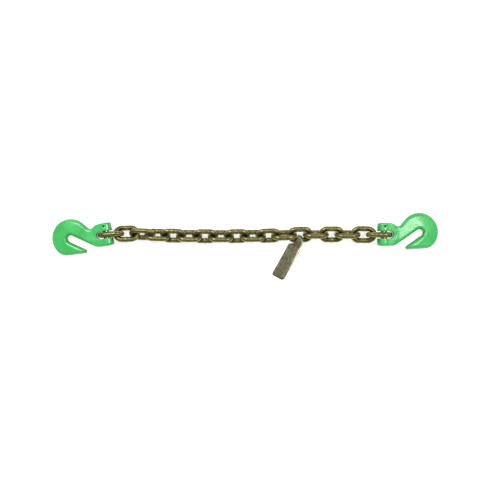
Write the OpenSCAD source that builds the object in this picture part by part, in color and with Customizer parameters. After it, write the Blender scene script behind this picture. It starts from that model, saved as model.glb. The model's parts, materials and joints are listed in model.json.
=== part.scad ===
// Load binder chain: eighteen welded alloy links laid out straight, a clevis grab hook
// pinned to each end link, and a folded identification tag hung on one link.
//
// The chain lies along X on the plane z = 0, hooks flat, Z up. Every link, hook, load pin,
// retaining pin and the tag is a node of its own. All sizes are in millimetres and degrees.

/* [Chain] */
// Wire diameter of a link
wire_d = 10; // [9:0.1:10.5]
// Inner length of a link, which is also the chain pitch
pitch = 30; // [29:0.5:33]
// Clear width inside a link
inner_w = 13; // [12.5:0.1:14]
// Gap left between the bearing surfaces of two crossed links
link_play = 0.12; // [0.05:0.01:0.3]
// Running clearance between a load pin and the link that hangs on it
pin_play = 0.1; // [0.04:0.01:0.15]
// Diameter added by the weld bead on one leg
weld_upset = 0.9; // [0:0.1:1.5]
// Length of the weld bead
weld_len = 4.5; // [3:0.5:6]

/* [Grab hook] */
// Thickness of the hook over its bowl and tip
hook_t = 16; // [14:0.5:18]
// Radius of the crowned faces beyond the flat middle
crown_r = 200; // [150:10:400]
// Radius of the flat middle of each face
crown_flat = 25; // [20:1:30]
// Radius of the outer back of the bowl
bowl_r = 36.3; // [35:0.1:37]
// Width of the grab slot
throat_w = 12.4; // [11.5:0.1:13]
// Angle of the grab slot to the hook axis
throat_angle = 34.5; // [33:0.5:36]
// Width of the slot between the clevis ears
clevis_gap = 14; // [13.6:0.1:14.4]
// Radius of the round clevis ears about the load pin
ear_r = 12.5; // [12:0.5:13]
// Rounding of the ear rims
ear_edge = 4; // [2:0.5:5]

/* [Pins] */
// Load pin diameter
load_pin_d = 12; // [11:0.1:12.4]
// Retaining pin outside diameter
roll_pin_d = 4.2; // [3:0.1:5]
// Retaining pin distance from the hook centre line
roll_pin_y = 16; // [13:0.5:17]

/* [Tag] */
// Width of the tag leaves
tag_w = 24; // [22:1:26]
// Length of the tag from the eye centre to its end
tag_len = 81; // [60:1:95]
// Sheet thickness of one leaf
leaf_t = 1.2; // [0.8:0.1:1.5]
// Width of the neck that loops round the link
neck_w = 8; // [6:0.5:8.5]
// Radius of the rolled seam on one long edge
seam_r = 2.4; // [1.8:0.1:2.6]
// Skew of the tag from square to the link leg
tag_skew = 31; // [25:1:32]
// Distance of the tag from the middle of the link leg
tag_shift = -4; // [-5:0.5:-2]

/* [Lay] */
// Roll of each link about the chain line, which grows by about a quarter turn per link
link_roll = [
    88, 160, 238, 308, 404, 487, 584, 667, 764,
    847, 942, 1016, 1110, 1187, 1288, 1367, 1455, 1530
];
// Turn of each link out of the chain line, as the chain wanders on the ground
link_yaw = [
    4, 1.5, -3, -2.5, -1.5, -1, 0, -0.5, 1.5,
    0.5, 2, 2, 2, 0.5, 0, -0.5, -1, -0.5
];
// Centre of the first link
start = [-251.167, 22.263, 17.35];
// Nose-down pitch of each hook, left then right
hook_dip = [7.02, 6.9]; // [3:0.02:9]
// Turn of each hook about the vertical, left then right
hook_turn = [10, 0]; // [-1:0.5:11]
// Slope of the tag towards the ground
tag_slope = 5.78; // [0:0.02:12]

/* [Hidden] */
$fn = 96;
link_count = len(link_roll);
tag_link = 13;
wire_r = wire_d / 2;
bend_r = inner_w / 2 + wire_r;
leg_half = (pitch - inner_w) / 2;
apex = pitch / 2 + wire_r;
pin_r = load_pin_d / 2;
pin_reach = pitch / 2 - pin_r - pin_play;

chain_colour = [0.52, 0.48, 0.27];
hook_colour = [0.30, 0.82, 0.42];
pin_colour = [0.45, 0.44, 0.36];
tag_colour = [0.60, 0.58, 0.40];

// ---- lay of the chain ----

// Height of link k's centre line when the link stands on the ground at its own roll
function standing(k) = wire_r + bend_r * abs(sin(link_roll[k]));

// Height of the joint after link k: the more upright of two links carries the other
function joint_height(k) =
    k < 0 ? standing(0)
    : k > link_count - 2 ? standing(link_count - 1)
    : max(standing(k), standing(k + 1));

function link_pitch(k) = asin((joint_height(k - 1) - joint_height(k)) / pitch);

function along(k) =
    let (p = link_pitch(k), w = link_yaw[k])
    [cos(w) * cos(p), sin(w) * cos(p), -sin(p)];

function across(k) =
    let (q = link_roll[k], p = link_pitch(k), w = link_yaw[k], h = sin(p) * sin(q))
    [cos(w) * h - sin(w) * cos(q), sin(w) * h + cos(w) * cos(q), cos(p) * sin(q)];

// Unit direction in which the crowns of links k - 1 and k pull on each other
function pull(k) =
    let (n = cross(across(k - 1), across(k)), s = n * along(k - 1) < 0 ? -1 : 1)
    s * n / norm(n);

// Distance between the crown centres of links k - 1 and k, so that crossed wires clear each
// other at rest and while they swing; links that don't cross squarely need a little more
function seat(k) =
    let (c = abs(across(k - 1) * across(k)), d = wire_d + link_play + 3.6 * c * c)
    max([
        for (u = [0:0.005:1])
            let (s = d * d - 2 * bend_r * bend_r * u * (2 - u) * (1 - c))
            s < 0 ? 0 : 2 * bend_r * u + sqrt(s)
    ]);

function centre(k) =
    k == 0 ? start
    : centre(k - 1) + apex * (along(k - 1) + along(k)) - seat(k) * pull(k);

left_pin = centre(0) - pin_reach * along(0);
right_pin = centre(link_count - 1) + pin_reach * along(link_count - 1);

// ---- outlines with filleted corners, taken counter-clockwise as [x, y, radius] ----

function corner(path, i) = path[(i + len(path)) % len(path)];

function heading(path, i) =
    let (a = corner(path, i), b = corner(path, i + 1))
    atan2(b[1] - a[1], b[0] - a[0]);

function turn(path, i) =
    let (t = heading(path, i) - heading(path, i - 1))
    t > 180 ? t - 360 : t < -180 ? t + 360 : t;

function setback(path, i) = corner(path, i)[2] * abs(tan(turn(path, i) / 2));

function arc_start(path, i) =
    let (h = heading(path, i - 1), v = corner(path, i))
    [v[0], v[1]] - setback(path, i) * [cos(h), sin(h)];

function arc_end(path, i) =
    let (h = heading(path, i), v = corner(path, i))
    [v[0], v[1]] + setback(path, i) * [cos(h), sin(h)];

function arc_centre(path, i) =
    let (h = heading(path, i - 1), r = corner(path, i)[2] * sign(turn(path, i)))
    arc_start(path, i) + r * [-sin(h), cos(h)];

// The arc is a hair larger than its fillet, so that it crosses both sides instead of grazing them
module corner_segment(path, i) {
    intersection() {
        translate(arc_centre(path, i))
            circle(r = corner(path, i)[2] + 0.02);
        polygon([
            arc_start(path, i),
            [corner(path, i)[0], corner(path, i)[1]],
            arc_end(path, i)
        ]);
    }
}

module filleted(path) {
    last = len(path) - 1;
    difference() {
        union() {
            polygon([
                for (i = [0:last])
                    each norm(arc_end(path, i) - arc_start(path, i + 1)) > 0.001
                        && corner(path, i)[2] > 0
                        ? [arc_start(path, i), arc_end(path, i)]
                        : [arc_start(path, i)]
            ]);
            for (i = [0:last])
                if (turn(path, i) > 0 && corner(path, i)[2] > 0)
                    corner_segment(path, i);
        }
        for (i = [0:last])
            if (turn(path, i) < 0 && corner(path, i)[2] > 0)
                corner_segment(path, i);
    }
}

// Waste outside a rounded edge on both faces, x measured inwards from the side wall
module edge_waste(e, half) {
    for (s = [-1, 1])
        difference() {
            translate([-1, s > 0 ? half - e : -half - 1])
                square([e + 1, e + 1]);
            translate([e, s * (half - e)])
                circle(r = e * 1.02);
        }
}

// The same waste swept along a straight side from a to b
module run_waste(a, b, e, half) {
    translate([a[0], a[1], 0])
        rotate([90, 0, 90 + atan2(b[1] - a[1], b[0] - a[0])])
            linear_extrude(height = norm(b - a))
                edge_waste(e, half);
}

// ---- chain link ----

module link_ring() {
    color(chain_colour) {
        for (s = [-1, 1]) {
            translate([s * leg_half, 0, 0])
                rotate([0, 0, -90 * s])
                    rotate_extrude(angle = 180)
                        translate([bend_r, 0])
                            circle(d = wire_d);
            translate([-leg_half, s * bend_r, 0])
                rotate([0, 90, 0])
                    cylinder(d = wire_d, h = 2 * leg_half);
        }
        translate([0, bend_r, 0])
            rotate([0, 90, 0])
                rotate_extrude()
                    weld_profile();
    }
}

// Half section of the weld bead: a low crown over the bar
module weld_profile() {
    rise = weld_upset / 2;
    crown_r = (weld_len * weld_len / 4 + rise * rise) / (2 * rise);
    intersection() {
        translate([wire_r + rise - crown_r, 0])
            circle(r = crown_r);
        translate([0, -weld_len / 2])
            square([wire_r + rise + 1, weld_len]);
    }
}

module place_link(k) {
    translate(centre(k - 1))
        rotate([link_roll[k - 1] % 360, link_pitch(k - 1), link_yaw[k - 1]])
            children();
}

module link(k) {
    place_link(k)
        link_ring();
}

// ---- clevis grab hook: load pin on the Y axis at the origin, bowl towards +X ----

grab = [cos(throat_angle), sin(throat_angle)];
grab_side = [-sin(throat_angle), cos(throat_angle)];
throat_end = [68.5, 4.5] + throat_w / 2 * grab;
bowl = [68.5, 5.5];
belly = -20.6;
back = 22.5;
shoulder_heading = 229;
heel_heading = 58;
sole_heading = 3.4;
heel_r = 25;

// Point where two lines meet, each given by a point and a heading
function meet(a, h, b, g) =
    let (d = b - a, t = (d[0] * sin(g) - d[1] * cos(g)) / sin(g - h))
    a + t * [cos(h), sin(h)];

function bowl_tangent(h) = bowl + bowl_r * [sin(h), -cos(h)];

function bowl_corner(h, g) = meet(bowl_tangent(h), h, bowl_tangent(g), g);

slot_upper = throat_end + throat_w / 2 * grab_side;
slot_lower = throat_end - throat_w / 2 * grab_side;
heel_centre = bowl + (bowl_r - heel_r) * [sin(heel_heading), -cos(heel_heading)];
sole = heel_centre + heel_r * [sin(sole_heading), -cos(sole_heading)];
notch = meet(bowl_tangent(shoulder_heading), shoulder_heading, [28.5, 0], 90);

function with_r(p, r) = [p[0], p[1], r];

hook_outline = [
    [4, belly, 0],
    with_r(meet([0, belly], 0, slot_upper, throat_angle), 18),
    with_r(slot_upper, throat_w / 2),
    with_r(slot_lower, throat_w / 2),
    with_r(meet(slot_lower, throat_angle, sole, sole_heading), 3.8),
    with_r(meet(sole, sole_heading, bowl_tangent(heel_heading), heel_heading), heel_r),
    with_r(bowl_corner(heel_heading, 115), bowl_r),
    with_r(bowl_corner(115, 172), bowl_r),
    with_r(bowl_corner(172, shoulder_heading), bowl_r),
    with_r(notch, 7),
    with_r(meet(notch, 150, [0, back], 0), 12),
    [4, back, 0]
];

clevis_end = 34;
clevis_back = back + 0.3;
clevis_belly = belly - 0.3;
function inward(h, d) = d * [-sin(h), cos(h)];

// Outline that trims the clevis inside the hook's own outline, on the way into the neck
trim = 0.5;
neck_notch = notch + inward(190, trim);
neck_outline = [
    [6, belly + trim, 0],
    with_r(meet([0, belly + trim], 0, slot_upper + inward(throat_angle, trim), throat_angle), 18),
    with_r(meet([clevis_end + 5, 0], 90, slot_upper + inward(throat_angle, trim), throat_angle), 0),
    with_r(meet([clevis_end + 5, 0], 90, neck_notch, shoulder_heading), 0),
    with_r(neck_notch, 7),
    with_r(meet(neck_notch, 150, [0, back - trim], 0), 12),
    [6, back - trim, 0]
];

clevis_h = clevis_back - clevis_belly;
neck_half = 7.2;
root_half = ear_r - 0.5;

// Round ears about the load pin, as one drum with rounded rims along Z
module ear_drum() {
    rotate_extrude()
        filleted([
            [0, -clevis_h / 2, 0],
            [ear_r, -clevis_h / 2, ear_edge],
            [ear_r, clevis_h / 2, ear_edge],
            [0, clevis_h / 2, 0]
        ]);
}

// Neck that draws the drum down to the hook's own thickness
module neck_block() {
    root_low = [-1, -root_half];
    root_high = [-1, root_half];
    tip_low = [clevis_end, -neck_half];
    tip_high = [clevis_end, neck_half];
    difference() {
        linear_extrude(height = clevis_h, center = true)
            polygon([root_low, tip_low, tip_high, root_high]);
        run_waste(root_low, tip_low + [1, 0], ear_edge, clevis_h / 2);
        run_waste(tip_high + [1, 0], root_high, ear_edge, clevis_h / 2);
    }
}

module clevis_body() {
    intersection() {
        translate([0, (clevis_back + clevis_belly) / 2, 0])
            rotate([90, 0, 0]) {
                ear_drum();
                neck_block();
            }
        linear_extrude(height = 2 * ear_r + 2, center = true) {
            translate([-ear_r - 2, clevis_belly - 2])
                square([ear_r + 11, clevis_h + 4]);
            filleted(neck_outline);
        }
    }
}

// Bowl, shank and tip: flat in the middle, with faces that fall away to a thinner rim
module hook_plate() {
    sink = hook_t / 2 - sqrt(crown_r * crown_r - crown_flat * crown_flat);
    intersection() {
        linear_extrude(height = hook_t, center = true)
            filleted(hook_outline);
        translate([52, 4, sink])
            sphere(r = crown_r, $fn = 240);
        translate([52, 4, -sink])
            sphere(r = crown_r, $fn = 240);
    }
}

module clevis_slot() {
    translate([0, 0, -ear_r - 1])
        linear_extrude(height = 2 * ear_r + 2) {
            translate([-ear_r - 2, -clevis_gap / 2])
                square([ear_r + 13, clevis_gap]);
            translate([11, 0])
                circle(d = clevis_gap);
        }
}

module grab_hook() {
    color(hook_colour)
        difference() {
            union() {
                hook_plate();
                clevis_body();
            }
            clevis_slot();
            rotate([90, 0, 0])
                cylinder(r = pin_r, h = 80, center = true);
            translate([0, roll_pin_y, 0])
                cylinder(d = roll_pin_d, h = 60, center = true);
        }
}

module load_pin() {
    chamfer = 0.8;
    color(pin_colour)
        difference() {
            translate([0, back - 0.3, 0])
                rotate([90, 0, 0])
                    union() {
                        translate([0, 0, chamfer])
                            cylinder(r = pin_r, h = back - belly - 0.6 - 2 * chamfer);
                        cylinder(r1 = pin_r - chamfer, r2 = pin_r, h = chamfer);
                        translate([0, 0, back - belly - 0.6 - chamfer])
                            cylinder(r1 = pin_r, r2 = pin_r - chamfer, h = chamfer);
                    }
            translate([0, roll_pin_y, 0])
                cylinder(d = roll_pin_d, h = 60, center = true);
        }
}

module retaining_pin() {
    length = 2 * ear_r - 3;
    color(pin_colour)
        translate([0, roll_pin_y, 0])
            difference() {
                cylinder(d = roll_pin_d, h = length, center = true);
                cylinder(d = roll_pin_d - 1.6, h = length + 2, center = true);
                translate([0, -0.3, -length / 2 - 1])
                    cube([roll_pin_d, 0.6, length + 2]);
            }
}

module place_left_hook() {
    translate(left_pin)
        rotate([0, 180 - hook_dip[0], hook_turn[0]])
            children();
}

module place_right_hook() {
    translate(right_pin)
        rotate([0, hook_dip[1], hook_turn[1]])
            children();
}

// ---- identification tag: eye centre at the origin, body towards -Y, leaves flat in XY ----

eye_r = wire_r + 0.35;
eye_stretch = wire_r * (1 / cos(tag_skew) - 1) + neck_w / 2 * tan(tag_skew) + 0.3;
leaf_close = eye_stretch + 9;

// Section of the folded strip, x along the tag and y through its thickness
module tag_section() {
    difference() {
        fold_shape(eye_r + leaf_t, leaf_t);
        fold_shape(eye_r, 0.02);
    }
}

// Eye that narrows to a flat pair of leaves of the given half thickness
module fold_shape(r, half) {
    reach = leaf_close - eye_stretch;
    lean = asin(r / norm([reach, half])) - atan(half / reach);
    translate([-eye_stretch, 0])
        circle(r = r);
    translate([eye_stretch, 0])
        circle(r = r);
    translate([-eye_stretch, -r])
        square([2 * eye_stretch, 2 * r]);
    polygon([
        [eye_stretch, -r],
        [eye_stretch + r * sin(lean), -r * cos(lean)],
        [leaf_close, -half],
        [tag_len + 1, -half],
        [tag_len + 1, half],
        [leaf_close, half],
        [eye_stretch + r * sin(lean), r * cos(lean)],
        [eye_stretch, r]
    ]);
}

// Plan of the tag: narrow neck through the link, shoulders that follow the link's leg, and a
// body with rounded end corners
tag_plan = [
    [-20, -neck_w / 2, 0],
    [8.9, -neck_w / 2, 0],
    [14.2, -tag_w / 2, 2],
    [tag_len, -tag_w / 2, 4],
    [tag_len, tag_w / 2, 4],
    [-1, tag_w / 2, 3],
    [-5, neck_w / 2, 0],
    [-20, neck_w / 2, 0]
];

module id_tag_body() {
    color(tag_colour)
        rotate([0, 0, -90]) {
            intersection() {
                rotate([90, 0, 0])
                    linear_extrude(height = tag_w + 2, center = true)
                        tag_section();
                linear_extrude(height = 40, center = true)
                    filleted(tag_plan);
            }
            translate([leaf_close + 1, tag_w / 2 - 0.4, 0])
                rotate([0, 90, 0])
                    cylinder(r = seam_r, h = tag_len - leaf_close - 5);
        }
}

module id_tag() {
    place_link(tag_link)
        translate([tag_shift, -bend_r, 0])
            rotate([tag_slope - link_roll[tag_link - 1] % 360, 0, 0])
                rotate([0, 0, -tag_skew])
                    id_tag_body();
}

// ---- what is drawn ----

// Piece to draw, or all of them

place_left_hook() grab_hook();  // hook_left
place_left_hook() load_pin();  // hook_left_load_pin
place_left_hook() retaining_pin();  // hook_left_retaining_pin
link(1);  // link_01
link(2);  // link_02
link(3);  // link_03
link(4);  // link_04
link(5);  // link_05
link(6);  // link_06
link(7);  // link_07
link(8);  // link_08
link(9);  // link_09
link(10);  // link_10
link(11);  // link_11
link(12);  // link_12
link(13);  // link_13
link(14);  // link_14
link(15);  // link_15
link(16);  // link_16
link(17);  // link_17
link(18);  // link_18
place_right_hook() grab_hook();  // hook_right
place_right_hook() load_pin();  // hook_right_load_pin
place_right_hook() retaining_pin();  // hook_right_retaining_pin
id_tag();
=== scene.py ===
"""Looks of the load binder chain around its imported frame. Lengths are in metres."""

import json
import math

import bmesh
import bpy
import numpy as np
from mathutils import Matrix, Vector, kdtree, noise


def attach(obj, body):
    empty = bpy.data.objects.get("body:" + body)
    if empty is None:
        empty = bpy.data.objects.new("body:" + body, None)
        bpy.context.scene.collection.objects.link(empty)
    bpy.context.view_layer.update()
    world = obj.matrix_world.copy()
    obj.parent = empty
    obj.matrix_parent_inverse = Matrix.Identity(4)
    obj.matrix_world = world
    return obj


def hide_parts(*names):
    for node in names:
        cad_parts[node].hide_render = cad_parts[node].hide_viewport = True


MM = 0.001

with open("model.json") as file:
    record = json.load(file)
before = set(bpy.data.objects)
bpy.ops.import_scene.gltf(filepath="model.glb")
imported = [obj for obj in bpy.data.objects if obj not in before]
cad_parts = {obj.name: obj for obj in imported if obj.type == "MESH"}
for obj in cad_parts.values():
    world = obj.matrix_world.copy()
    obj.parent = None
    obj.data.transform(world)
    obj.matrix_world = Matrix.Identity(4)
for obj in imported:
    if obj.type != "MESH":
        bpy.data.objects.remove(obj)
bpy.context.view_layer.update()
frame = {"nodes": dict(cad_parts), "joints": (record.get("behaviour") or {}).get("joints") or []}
joints = {j["name"]: j for j in frame["joints"]}


# ---------------------------------------------------------------- node surfaces

def surface(node):
    """The CAD node's vertices and triangles."""
    mesh = frame["nodes"][node].data
    mesh.calc_loop_triangles()
    tri = np.empty(len(mesh.loop_triangles) * 3, dtype=np.int32)
    mesh.loop_triangles.foreach_get("vertices", tri)
    return positions(mesh), tri.reshape(-1, 3)


def principal(node):
    """Centroid of the node's surface and its principal axes as rows, longest first."""
    co, tri = surface(node)
    a, b, c = co[tri[:, 0]], co[tri[:, 1]], co[tri[:, 2]]
    area = np.linalg.norm(np.cross(b - a, c - a), axis=1)
    points = np.concatenate([(a + b) / 2, (b + c) / 2, (c + a) / 2])
    weight = np.concatenate([area, area, area])[:, None]
    centre = (points * weight).sum(0) / weight.sum()
    spread = points - centre
    axes = np.linalg.eigh((spread * weight).T @ spread)[1].T[::-1]
    return co, centre, axes


def unit(v):
    return v / np.linalg.norm(v)


def grain(points, scale, seed, octaves):
    """Smooth noise from about -1 to 1 at each point."""
    shift = Vector((seed * 3.17, seed * 1.71, seed * 0.93))
    return np.array([
        noise.fractal(Vector(p) * scale + shift, 0.8, 2.0, octaves) for p in points
    ])


def new_object(name, mesh):
    obj = bpy.data.objects.new(name, mesh)
    bpy.context.scene.collection.objects.link(obj)
    return obj


def positions(mesh):
    out = np.empty(len(mesh.vertices) * 3)
    mesh.vertices.foreach_get("co", out)
    return out.reshape(-1, 3)


def normals(mesh):
    out = np.empty(len(mesh.vertices) * 3)
    mesh.vertex_normals.foreach_get("vector", out)
    return out.reshape(-1, 3)


def move_to(mesh, places):
    mesh.vertices.foreach_set("co", places.ravel())
    mesh.update()


def set_mask(mesh, name, values):
    layer = mesh.attributes.new(name, "FLOAT", "POINT")
    layer.data.foreach_set("value", np.asarray(values, dtype=np.float32))


def shade_smooth(mesh):
    mesh.polygons.foreach_set("use_smooth", [True] * len(mesh.polygons))
    mesh.update()


# ---------------------------------------------------------------- materials

# Sockets of a mix node that holds colours
MIX_A, MIX_B, MIX_OUT = 6, 7, 2


class Graph:
    """A small helper to write node materials in object space."""

    def __init__(self, name):
        self.material = bpy.data.materials.new(name)
        self.material.use_nodes = True
        self.nodes = self.material.node_tree.nodes
        self.links = self.material.node_tree.links
        self.shader = self.nodes["Principled BSDF"]
        self.coords = self.nodes.new("ShaderNodeTexCoord").outputs["Object"]

    def link(self, a, b):
        self.links.new(a, b)

    def feed(self, what, socket):
        """Sets a socket from a number, a colour or another node's output."""
        if isinstance(what, tuple):
            socket.default_value = (*what, 1)
        elif isinstance(what, (int, float)):
            socket.default_value = what
        else:
            self.link(what, socket)

    def noise(self, scale, detail=4.0, roughness=0.55, stretch=None):
        node = self.nodes.new("ShaderNodeTexNoise")
        node.inputs["Scale"].default_value = scale
        node.inputs["Detail"].default_value = detail
        node.inputs["Roughness"].default_value = roughness
        source = self.coords
        if stretch:
            mapping = self.nodes.new("ShaderNodeMapping")
            mapping.inputs["Scale"].default_value = stretch
            self.link(self.coords, mapping.inputs["Vector"])
            source = mapping.outputs["Vector"]
        self.link(source, node.inputs["Vector"])
        return node.outputs["Fac"]

    def cells(self, scale):
        node = self.nodes.new("ShaderNodeTexVoronoi")
        node.inputs["Scale"].default_value = scale
        self.link(self.coords, node.inputs["Vector"])
        return node.outputs["Distance"]

    def ramp(self, source, stops):
        node = self.nodes.new("ShaderNodeValToRGB")
        band = node.color_ramp
        while len(band.elements) < len(stops):
            band.elements.new(0.5)
        for element, (place, colour) in zip(band.elements, stops):
            element.position = place
            element.color = (*colour, 1)
        self.link(source, node.inputs["Fac"])
        return node.outputs["Color"]

    def value(self, source, low, high, out_low, out_high):
        node = self.nodes.new("ShaderNodeMapRange")
        node.inputs["From Min"].default_value = low
        node.inputs["From Max"].default_value = high
        node.inputs["To Min"].default_value = out_low
        node.inputs["To Max"].default_value = out_high
        self.link(source, node.inputs["Value"])
        return node.outputs["Result"]

    def mix(self, factor, a, b, blend="MIX"):
        node = self.nodes.new("ShaderNodeMix")
        node.data_type = "RGBA"
        node.blend_type = blend
        self.feed(factor, node.inputs["Factor"])
        self.feed(a, node.inputs[MIX_A])
        self.feed(b, node.inputs[MIX_B])
        return node.outputs[MIX_OUT]

    def times(self, a, b):
        node = self.nodes.new("ShaderNodeMath")
        node.operation = "MULTIPLY"
        self.feed(a, node.inputs[0])
        self.feed(b, node.inputs[1])
        return node.outputs["Value"]

    def attribute(self, name):
        node = self.nodes.new("ShaderNodeAttribute")
        node.attribute_name = name
        return node.outputs["Fac"]

    def edge(self, low, high):
        node = self.nodes.new("ShaderNodeNewGeometry")
        return self.value(node.outputs["Pointiness"], low, high, 0.0, 1.0)

    def bump(self, height, strength, distance, under=None):
        node = self.nodes.new("ShaderNodeBump")
        node.inputs["Strength"].default_value = strength
        node.inputs["Distance"].default_value = distance
        self.link(height, node.inputs["Height"])
        if under is not None:
            self.link(under, node.inputs["Normal"])
        return node.outputs["Normal"]

    def finish(self, colour, roughness=None, normal=None, **fixed):
        inputs = self.shader.inputs
        self.link(colour, inputs["Base Color"])
        if roughness is not None:
            self.link(roughness, inputs["Roughness"])
        if normal is not None:
            self.link(normal, inputs["Normal"])
        for name, number in fixed.items():
            inputs[name.replace("_", " ")].default_value = number
        return self.material


def chain_material():
    """Olive-gold chromate over steel, duller at the weld, with grime and painted shade inside the
    bends.
    """
    g = Graph("chain_chromate")
    patina = g.ramp(g.noise(210, 5, 0.58), [
        (0.30, (0.165, 0.142, 0.054)),
        (0.50, (0.240, 0.214, 0.084)),
        (0.72, (0.335, 0.305, 0.132)),
    ])
    tint = g.ramp(g.noise(22, 3), [(0.35, (0.86, 0.95, 0.86)), (0.65, (1.0, 0.94, 0.84))])
    toned = g.mix(1.0, patina, tint, "MULTIPLY")
    welded = g.mix(g.times(g.attribute("weld"), 0.35), toned, (0.140, 0.125, 0.070))
    # Grime and painted shade: the inner side of each bend, where the links interlock, is darkened
    grimed_and_shaded = g.mix(g.times(g.attribute("grime_and_shade"), 0.85), welded, (0.040, 0.032, 0.010))
    pits = g.value(g.cells(900), 0.0, 0.24, 1.0, 0.0)
    colour = g.mix(g.times(pits, 0.22), grimed_and_shaded, (0.060, 0.050, 0.020))
    rough = g.value(g.noise(420, 5), 0.3, 0.7, 0.30, 0.46)
    fine = g.bump(g.noise(1500, 4), 0.12, 0.0002)
    normal = g.bump(g.noise(260, 3), 0.16, 0.0005, fine)
    return g.finish(colour, rough, normal, Metallic=0.88)


def enamel_material():
    """Glossy green enamel over a forging, darkened by painted shade and chipped down the side
    walls.
    """
    g = Graph("hook_enamel")
    body = g.ramp(g.noise(38, 4), [
        (0.30, (0.038, 0.500, 0.095)),
        (0.50, (0.055, 0.590, 0.125)),
        (0.70, (0.085, 0.670, 0.165)),
    ])
    # Painted shade: the side walls, which turn away from the light, are darkened to a deep green
    wall_shaded = g.mix(g.attribute("side"), body, (0.030, 0.150, 0.018))
    clouds = g.value(g.noise(240, 5), 0.52, 0.75, 0.0, 0.40)
    flow = g.mix(clouds, wall_shaded, (0.028, 0.400, 0.090))
    flakes = g.value(g.noise(520, 5, 0.7), 0.50, 0.60, 0.0, 1.0)
    chips = g.times(g.attribute("edge"), flakes)
    colour = g.mix(chips, flow, (0.045, 0.060, 0.016))
    rough = g.value(chips, 0.0, 1.0, 0.34, 0.60)
    fine = g.bump(g.noise(700, 4), 0.10, 0.0003)
    normal = g.bump(g.noise(110, 3), 0.35, 0.0010, fine)
    return g.finish(colour, rough, normal, Coat_Weight=0.8, Coat_Roughness=0.20)


def pin_material():
    """Plated steel pins with rubbed rims."""
    g = Graph("pin_plating")
    colour = g.ramp(g.noise(300, 5), [
        (0.30, (0.120, 0.115, 0.070)),
        (0.55, (0.260, 0.255, 0.165)),
        (0.75, (0.400, 0.390, 0.270)),
    ])
    rubbed = g.mix(g.edge(0.52, 0.60), colour, (0.55, 0.55, 0.46))
    rough = g.value(g.noise(500, 4), 0.3, 0.7, 0.25, 0.45)
    normal = g.bump(g.noise(1400, 4), 0.25, 0.0002)
    return g.finish(rubbed, rough, normal, Metallic=0.9)


def dark_pin_material():
    """Spring pins driven flush and painted over with the hook."""
    g = Graph("pin_overpaint")
    colour = g.ramp(g.noise(400, 4), [(0.3, (0.020, 0.160, 0.030)), (0.7, (0.040, 0.300, 0.060))])
    return g.finish(colour, g.value(g.noise(500, 3), 0.3, 0.7, 0.45, 0.65))


def tag_material():
    """Mottled olive plating on pressed sheet, with a painted highlight along the seam and painted
    shade at the far end.
    """
    g = Graph("tag_plating")
    mottle = g.ramp(g.noise(170, 6, 0.65), [
        (0.32, (0.130, 0.120, 0.065)),
        (0.50, (0.215, 0.200, 0.112)),
        (0.70, (0.330, 0.310, 0.185)),
    ])
    # Painted highlight: a bright band along the rounded seam edge
    seam = g.mix(g.attribute("seam"), mottle, (0.90, 0.88, 0.68))
    # Painted shade: the far end, where the sheet rounds away from the light, is darkened
    end_shaded = g.mix(g.attribute("far_end_shade"), seam, (0.040, 0.036, 0.014))
    scratch = g.value(g.noise(260, 3, 0.5, (1.0, 0.08, 1.0)), 0.60, 0.68, 0.0, 0.5)
    colour = g.mix(scratch, end_shaded, (0.44, 0.42, 0.28))
    rough = g.value(g.noise(360, 5), 0.3, 0.7, 0.30, 0.58)
    fine = g.bump(g.noise(1300, 4), 0.25, 0.00025)
    normal = g.bump(g.noise(120, 4), 0.45, 0.0008, fine)
    return g.finish(colour, rough, normal, Metallic=0.72)


CHAIN = chain_material()
ENAMEL = enamel_material()
PLATED = pin_material()
OVERPAINTED = dark_pin_material()
TAG = tag_material()


def dress(obj, material):
    obj.data.materials.clear()
    obj.data.materials.append(material)


# ---------------------------------------------------------------- chain links

WIRE_R = 5.0 * MM
BEND_R = 11.5 * MM
LEG_HALF = 8.5 * MM
LEG = 2 * LEG_HALF
BEND = math.pi * BEND_R
# Weld collar: its rise over the bar, half its length, and the flash ridge in its middle
BEAD_RISE = 0.45 * MM
BEAD_HALF = 2.6 * MM
SWELL_SHARE = 0.72
FLASH_HALF = 0.5 * MM
# How unevenly the flash was trimmed, and how much finer that is than the bar's grain
TRIM_SHARE = 0.22
TRIM_FINENESS = 2.3
# The bar's surface: held just inside the CAD bar, with a shallow grain of about 2 mm
SKIN_DEPTH = 0.05 * MM
GRAIN_DEPTH = 0.04 * MM
GRAIN_PER_METRE = 420
GRAIN_ROUND_BAR = 1.6
# Grime and painted shade start a little before the bends and cover the bar's inner side, where the
# links interlock
GRIME_SHADE_START = 0.35 * LEG_HALF
GRIME_SHADE_FADE = 0.6 * BEND_R
GRIME_SHADE_REACH = 0.55
# Rings along the centre line and points round each ring
ALONG = 168
AROUND = 44


def link_frame(node):
    """Centre of a link and its axes as rows: X along it, Y towards the weld, Z its plane normal."""
    co, centre, axes = principal(node)
    local = (co - centre) @ axes.T
    low, high = local.min(0), local.max(0)
    if -low[1] > high[1]:
        axes[1] *= -1
        low[1], high[1] = -high[1], -low[1]
    shift = np.array([
        (low[0] + high[0]) / 2,
        low[1] + BEND_R + WIRE_R,
        (low[2] + high[2]) / 2,
    ])
    centre = centre + shift @ axes
    axes[2] = np.cross(axes[0], axes[1])
    return centre, axes


def stadium(s):
    """Point and outward direction of the link's centre line at arc length s."""
    if s < LEG:
        return (s - LEG_HALF, BEND_R), (0.0, 1.0)
    if LEG + BEND <= s < 2 * LEG + BEND:
        return (LEG_HALF - (s - LEG - BEND), -BEND_R), (0.0, -1.0)
    if s < LEG + BEND:
        middle, t = LEG_HALF, math.pi / 2 - (s - LEG) / BEND_R
    else:
        middle, t = -LEG_HALF, -math.pi / 2 - (s - 2 * LEG - BEND) / BEND_R
    out = (math.cos(t), math.sin(t))
    return (middle + BEND_R * out[0], BEND_R * out[1]), out


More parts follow.
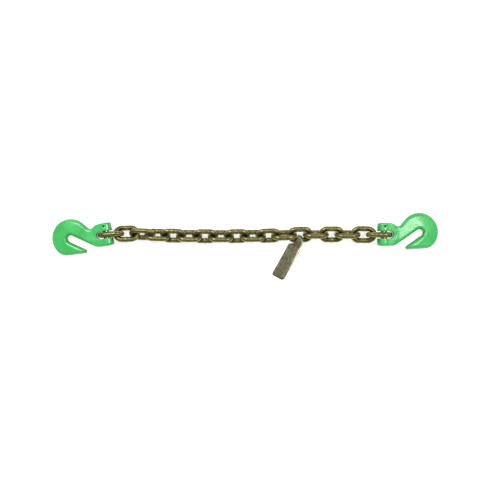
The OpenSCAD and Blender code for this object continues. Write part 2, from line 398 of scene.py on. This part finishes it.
def weld_nearness(x, y):
    """1 in the middle of the weld, falling to 0 at the ends of its collar."""
    on_weld_leg = y > 0.9 * BEND_R and abs(x) < LEG_HALF
    return max(0.0, 1 - abs(x) / BEAD_HALF) if on_weld_leg else 0.0


def collar_rise(x, near):
    """Rise of the weld collar: a low swell with a trimmed flash ridge in its middle."""
    flash = max(0.0, 1 - abs(x) / FLASH_HALF)
    return BEAD_RISE * (SWELL_SHARE * math.sin(near * math.pi / 2) + (1 - SWELL_SHARE) * flash)


def bar_radius(spot, x, near, seed):
    """Radius of the bar at a place in noise space, with the weld collar where it is near."""
    grit = noise.noise(spot + Vector((seed * 5.3, seed * 2.1, 0)))
    radius = WIRE_R - SKIN_DEPTH + GRAIN_DEPTH * grit
    if near > 0:
        trim = 0.5 + 0.5 * noise.noise(spot * TRIM_FINENESS + Vector((0, 0, seed * 1.9)))
        radius += collar_rise(x, near) * (1 - TRIM_SHARE + TRIM_SHARE * trim)
    return radius


def tube_faces():
    """Quads of a closed tube whose rings follow each other in a loop."""
    faces = []
    for i in range(ALONG):
        here, ahead = i * AROUND, (i + 1) % ALONG * AROUND
        for k in range(AROUND):
            side = (k + 1) % AROUND
            faces.append((here + k, here + side, ahead + side, ahead + k))
    return faces


def link_piece(node, seed):
    """A bent and welded link: drawn bar, weld collar with a trimmed flash, grime and painted shade
    in the bends.
    """
    centre, axes = link_frame(node)
    points, weld, grime_and_shade = [], [], []
    for i in range(ALONG):
        (x, y), (ox, oy) = stadium(2 * (LEG + BEND) * i / ALONG)
        near = weld_nearness(x, y)
        bend = min(1.0, max(0.0, (abs(x) - GRIME_SHADE_START) / GRIME_SHADE_FADE))
        for k in range(AROUND):
            a = 2 * math.pi * k / AROUND
            out, up = math.cos(a), math.sin(a)
            facing = Vector((ox * out, oy * out, up))
            spot = Vector((x, y, 0)) * GRAIN_PER_METRE + facing * GRAIN_ROUND_BAR
            r = bar_radius(spot, x, near, seed)
            points.append((x + r * out * ox, y + r * out * oy, r * up))
            weld.append(min(1.0, near * 1.8))
            # Mask of grime and painted shade on the bar's inner side in the bends
            grime_and_shade.append(min(1.0, bend * max(0.0, GRIME_SHADE_REACH - out)))
    mesh = bpy.data.meshes.new(node + "_forging")
    mesh.from_pydata((np.array(points) @ axes + centre).tolist(), [], tube_faces())
    mesh.validate()
    set_mask(mesh, "weld", weld)
    set_mask(mesh, "grime_and_shade", grime_and_shade)
    shade_smooth(mesh)
    return new_object(node + "_bar", mesh)


def face_outwards(mesh):
    bm = bmesh.new()
    bm.from_mesh(mesh)
    bmesh.ops.recalc_face_normals(bm, faces=bm.faces)
    bm.to_mesh(mesh)
    bm.free()


link_nodes = sorted(n for n in frame["nodes"] if n.startswith("link_"))
for number, node in enumerate(link_nodes):
    piece = link_piece(node, number + 1)
    face_outwards(piece.data)
    dress(piece, CHAIN)
    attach(piece, node)
    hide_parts(node)


# ---------------------------------------------------------------- forged hooks

HOOK_VOXEL = 0.75 * MM
HOOK_SMOOTHING = 12


def remeshed(node, name, voxel, rounds):
    """A fine copy of the node with its sharp edges rubbed round, as an object of its own."""
    work = new_object(name, frame["nodes"][node].data.copy())
    work.data.materials.clear()
    grid = work.modifiers.new("grid", "REMESH")
    grid.mode = "VOXEL"
    grid.voxel_size = voxel
    soften = work.modifiers.new("soften", "SMOOTH")
    soften.factor = 0.5
    soften.iterations = rounds
    seen = work.evaluated_get(bpy.context.evaluated_depsgraph_get())
    mesh = bpy.data.meshes.new_from_object(seen)
    work.modifiers.clear()
    work.data = mesh
    mesh.name = name
    return work


def hook_frame(side):
    """Pin centre and the hook's axes as rows: X to the bowl, Y along the pin, Z its flat faces."""
    pivot = joints[f"hook_{side}_pivot"]
    origin = np.array(pivot["pos_m"])
    _, hook_middle, _ = principal(f"hook_{side}")
    _, pin_middle, pin_axes = principal(f"hook_{side}_retaining_pin")
    y_axis = unit(np.array(pivot["axis"]))
    x_axis = unit(np.cross(y_axis, unit(pin_axes[0])))
    if x_axis @ (hook_middle - origin) < 0:
        x_axis = -x_axis
    if y_axis @ (pin_middle - origin) < 0:
        y_axis = -y_axis
    return origin, np.array([x_axis, y_axis, np.cross(x_axis, y_axis)])


# Width of the rolled rim, which grows from the start of the neck to its end
FORGED_ROUND = 6.5 * MM
NECK_START, NECK_END = 18.0 * MM, 32.0 * MM
# Crowned faces: flat in the middle, falling away as part of a large sphere
HALF_THICK = 8.0 * MM
CROWN_R = 200.0 * MM
CROWN_FLAT = 25.0 * MM
CROWN_CENTRE = np.array([52.0, 4.0]) * MM
# Steepest tilt out of the hook's plane at which a point counts as side wall
WALL_TILT = 0.35
# Flash ridge round the side walls, then the forging's waves and its fine peel
RIDGE_START = 15 * MM
RIDGE_HALF = 0.9 * MM
RIDGE_RISE = 0.14 * MM
WAVE = 0.10 * MM
PEEL = 0.03 * MM


def half_thickness(spot):
    """Half the hook's thickness over a point of its plane, in its own frame."""
    away = np.linalg.norm(spot - CROWN_CENTRE)
    drop = math.sqrt(CROWN_R ** 2 - CROWN_FLAT ** 2) - math.sqrt(CROWN_R ** 2 - away ** 2)
    return min(HALF_THICK, HALF_THICK - drop)


def forged_round(local, facing):
    """Rolls the rims of the bowl, tip and throat over in a wide round, silhouette unchanged."""
    beyond = local[:, 0] > NECK_START
    walls = np.flatnonzero((np.abs(facing[:, 2]) < WALL_TILT) & beyond)
    tree = kdtree.KDTree(len(walls))
    for i in walls:
        tree.insert((local[i, 0], local[i, 1], 0), i)
    tree.balance()
    out = local.copy()
    for i in np.flatnonzero(beyond):
        _, wall, distance = tree.find((local[i, 0], local[i, 1], 0))
        across = max(0.0, 1 - distance / FORGED_ROUND)
        if across == 0:
            continue
        half = half_thickness(local[i, :2])
        up = min(1.0, abs(local[i, 2]) / half)
        round_across = across * math.sqrt(1 - up * up / 2)
        round_up = up * math.sqrt(1 - across * across / 2)
        share = min(1.0, (local[i, 0] - NECK_START) / (NECK_END - NECK_START))
        inward = -unit(facing[wall, :2])
        out[i, :2] += share * FORGED_ROUND * (across - round_across) * inward
        out[i, 2] += share * (math.copysign(half * round_up, local[i, 2]) - local[i, 2])
    return out


def hook_piece(side, seed):
    """A forged and enamelled hook: rolled rims, a trimmed flash line and slight waves."""
    node = f"hook_{side}"
    obj = remeshed(node, node + "_forging", HOOK_VOXEL, HOOK_SMOOTHING)
    mesh = obj.data
    origin, axes = hook_frame(side)
    local = forged_round((positions(mesh) - origin) @ axes.T, normals(mesh) @ axes.T)
    move_to(mesh, local @ axes + origin)
    co, normal = positions(mesh), normals(mesh)
    flat = np.abs((normal @ axes.T)[:, 2])
    ridge = np.clip(1 - np.abs(local[:, 2]) / RIDGE_HALF, 0, 1)
    ridge *= np.clip(1.2 - 2 * flat, 0, 1) * (local[:, 0] > RIDGE_START)
    push = RIDGE_RISE * ridge + WAVE * grain(co, 90, seed, 2)
    push += PEEL * grain(co, 420, seed + 4, 2)
    move_to(mesh, co + normal * push[:, None])
    # The side mask is painted shade, darkest where the surface turns out of the hook's plane
    set_mask(mesh, "side", np.clip((0.90 - flat) / 0.62, 0, 1))
    set_mask(mesh, "edge", np.clip(np.clip(0.55 - 1.6 * flat, 0, 1) + ridge * 0.5, 0, 1))
    shade_smooth(mesh)
    dress(obj, ENAMEL)
    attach(obj, node + "_body")
    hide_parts(node)


for number, side in enumerate(("left", "right")):
    hook_piece(side, 11 + number)
    dress(frame["nodes"][f"hook_{side}_load_pin"], PLATED)
    dress(frame["nodes"][f"hook_{side}_retaining_pin"], OVERPAINTED)


# ---------------------------------------------------------------- identification tag

TAG_VOXEL = 0.45 * MM
TAG_SMOOTHING = 4
# Width and blur of the painted highlight along the seam and of the painted shade at the far end
SEAM_HIGHLIGHT_WIDTH = 5.0 * MM
SEAM_HIGHLIGHT_BLUR = 1.2 * MM
END_SHADE_WIDTH = 4.0 * MM
END_SHADE_BLUR = 2.5 * MM
DENT = 0.16 * MM
RIPPLE = 0.03 * MM


def tag_directions(co, normal):
    """Unit directions along the tag, away from its link, and across it, towards its seam."""
    _, centre, axes = principal("id_tag")
    across = axes[1] if axes[1][0] > 0 else -axes[1]
    seam_side = co[normal @ across > 0.9]
    along = np.linalg.svd(seam_side - seam_side.mean(0), full_matrices=False)[2][0]
    if along @ (link_frame("link_13")[0] - centre) > 0:
        along = -along
    return along, unit(across - (across @ along) * along)


def tag_piece():
    """The folded sheet, slightly dented, with masks for the painted highlight along its seam and
    the painted shade at its far end.
    """
    obj = remeshed("id_tag", "id_tag_sheet", TAG_VOXEL, TAG_SMOOTHING)
    mesh = obj.data
    co, normal = positions(mesh), normals(mesh)
    along, across = tag_directions(co, normal)
    length, width = co @ along, co @ across
    dent = DENT * grain(co, 70, 31, 3) + RIPPLE * grain(co, 500, 35, 2)
    move_to(mesh, co + normal * dent[:, None])
    # Mask of the painted highlight along the seam
    seam = (width - (width.max() - SEAM_HIGHLIGHT_WIDTH)) / SEAM_HIGHLIGHT_BLUR
    # Mask of the painted shade at the far end
    far_end_shade = (length - (length.max() - END_SHADE_WIDTH)) / END_SHADE_BLUR
    set_mask(mesh, "seam", np.clip(seam, 0, 1))
    set_mask(mesh, "far_end_shade", 0.85 * np.clip(far_end_shade, 0, 1))
    shade_smooth(mesh)
    dress(obj, TAG)
    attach(obj, "id_tag_body")
    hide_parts("id_tag")


tag_piece()


# ---------------------------------------------------------------- floor, light and camera

FLOOR_HALF = 6.0
FLOOR_HEIGHT = -0.2 * MM


def paper_material():
    """White paper lit through from below, so that it stays white under soft shadows."""
    g = Graph("floor_paper")
    tone = g.ramp(g.noise(3, 2), [(0.3, (0.93, 0.93, 0.93)), (0.7, (0.915, 0.915, 0.915))])
    g.shader.inputs["Emission Color"].default_value = (1, 1, 1, 1)
    g.shader.inputs["Emission Strength"].default_value = 0.68
    return g.finish(tone, Roughness=0.8)


def floor():
    mesh = bpy.data.meshes.new("floor")
    corners = [(-1, -1), (1, -1), (1, 1), (-1, 1)]
    mesh.from_pydata(
        [(x * FLOOR_HALF, y * FLOOR_HALF, FLOOR_HEIGHT) for x, y in corners],
        [], [(0, 1, 2, 3)],
    )
    obj = new_object("floor", mesh)
    dress(obj, paper_material())


def softbox(name, place, size, watts):
    """A square lamp that faces the middle of the chain."""
    lamp = bpy.data.lights.new(name, "AREA")
    lamp.shape = "SQUARE"
    lamp.size = size
    lamp.energy = watts
    obj = new_object(name, lamp)
    obj.location = place
    obj.rotation_euler = (-Vector(place)).to_track_quat("-Z", "Y").to_euler()


def white_room(strength):
    world = bpy.data.worlds.new("studio")
    world.use_nodes = True
    background = world.node_tree.nodes["Background"]
    background.inputs["Color"].default_value = (1, 1, 1, 1)
    background.inputs["Strength"].default_value = strength
    bpy.context.scene.world = world


def camera_above(place, focal_mm):
    """A camera that looks straight down, with +Y up in its picture."""
    lens = bpy.data.cameras.new("camera")
    lens.sensor_width = 36.0
    lens.lens = focal_mm
    camera = new_object("camera", lens)
    camera.location = place
    bpy.context.scene.camera = camera


floor()
softbox("key", (-0.75, 0.75, 1.6), 0.60, 19)
softbox("fill", (0.95, 0.35, 1.6), 0.60, 14)
white_room(0.30)
camera_above((0.0092, -0.0070, 2.015), 76.7)
bpy.context.scene.view_settings.view_transform = "Standard"
